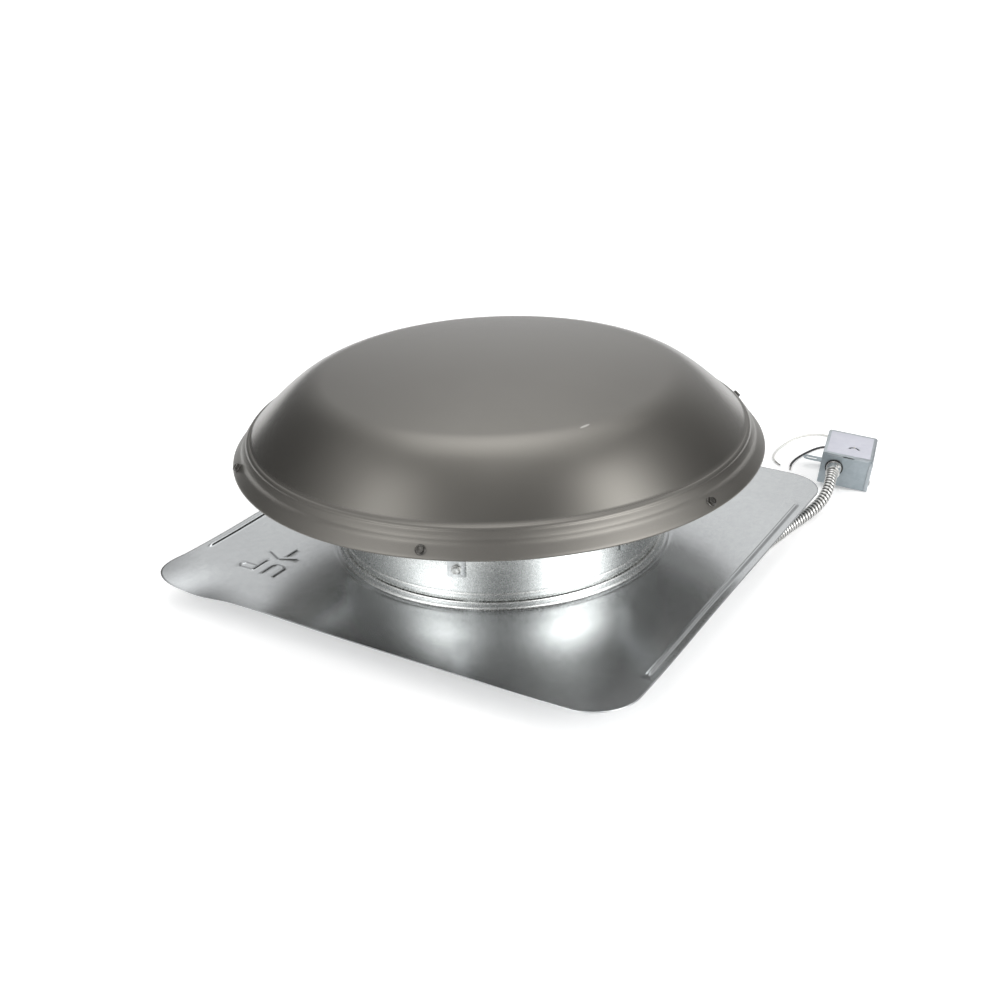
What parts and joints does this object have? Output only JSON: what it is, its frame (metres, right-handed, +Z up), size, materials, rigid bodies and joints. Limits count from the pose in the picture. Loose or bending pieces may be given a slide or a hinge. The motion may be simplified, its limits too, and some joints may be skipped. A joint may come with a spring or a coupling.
{
  "type": "roof-mounted attic exhaust fan",
  "caption": "Round domed attic exhaust fan on a square drawn flashing with an orientation mark, motor and fan in the throat, thermostat box on flexible conduit.",
  "frame": {"origin": "middle of the footprint of the fan with its dome and flashing (the conduit, thermostat box and leads left out), on the surface that the motor bracket stands on", "axes": "+Z up along the fan's shaft axis, +Y towards the flashing's up-slope edge, to which the embossed arrow points"},
  "size_m": [0.654, 0.8455, 0.2561],
  "materials": {
    "flashing_steel": "smooth galvanised, semi-gloss, brighter where it was drawn",
    "collar_steel": "bright galvanised with fine spangle",
    "dome_paint": "weathered grey-brown satin enamel",
    "bracket_steel": "galvanised strip",
    "screw_steel": "zinc-plated hex washer-head screws",
    "screen_wire": "galvanised wire cloth",
    "motor_enamel": "black semi-gloss enamel",
    "bell_casting": "die-cast aluminium",
    "lamination": "varnished steel laminations",
    "winding": "enamelled copper wire",
    "bronze": "sintered bronze",
    "shaft_steel": "ground steel",
    "blade_aluminium": "mill-finish sheet",
    "conduit_steel": "spiral-wound galvanised strip",
    "connector_zinc": "die-cast zinc",
    "box_steel": "blue-grey galvanised sheet",
    "cover_steel": "pale galvanised sheet",
    "label_film": "blank pale label",
    "switch_phenolic": "black moulded phenolic",
    "dial_plastic": "moulded nylon",
    "bushing_rubber": "black rubber",
    "white_insulation": "white wire insulation",
    "black_insulation": "black wire insulation",
    "ground_green": "green-dyed steel"
  },
  "bodies": {
    "housing": {"flashing": "flashing_steel", "collar": "collar_steel", "dome": "dome_paint", "dome_brackets": "bracket_steel", "dome_screws": "screw_steel", "bracket_screws": "screw_steel", "bird_screen": "screen_wire", "motor_bracket": "bracket_steel", "motor_studs": "screw_steel", "motor_stud_nuts": "screw_steel", "motor_can": "motor_enamel", "motor_top_bell": "bell_casting", "motor_bottom_bell": "bell_casting", "stator_core": "lamination", "stator_windings": "winding", "top_bearing": "bronze", "bottom_bearing": "bronze", "motor_through_bolts": "screw_steel", "motor_connector": "connector_zinc", "motor_connector_locknut": "connector_zinc", "flexible_conduit": "conduit_steel", "box_connector": "connector_zinc", "box_connector_locknut": "connector_zinc", "connector_clamp_screws": "screw_steel", "thermostat_box": "box_steel", "thermostat_cover": "cover_steel", "blank_label": "label_film", "cover_screws": "screw_steel", "thermostat_switch": "switch_phenolic", "lead_bushing": "bushing_rubber", "white_lead": "white_insulation", "black_lead": "black_insulation", "ground_screw": "ground_green"},
    "fan": {"motor_shaft": "shaft_steel", "rotor": "lamination", "fan_hub": "bell_casting", "fan_spider": "bracket_steel", "fan_blades": "blade_aluminium", "blade_rivets": "blade_aluminium", "hub_set_screw": "screw_steel"},
    "dial": {"setpoint_dial": "dial_plastic"}
  },
  "joints": [
    {"name": "fan_spin", "type": "hinge", "parent": "housing", "child": "fan", "pos_m": [0, 0.004, 0.127], "axis": [0, 0, 1], "continuous": true},
    {"name": "dial_turn", "type": "hinge", "parent": "housing", "child": "dial", "pos_m": [-0.31194, -0.39028, 0.04212], "axis": [-0.1192, -0.0253, 0.9925], "range_deg": [-60, 60]}
  ]
}
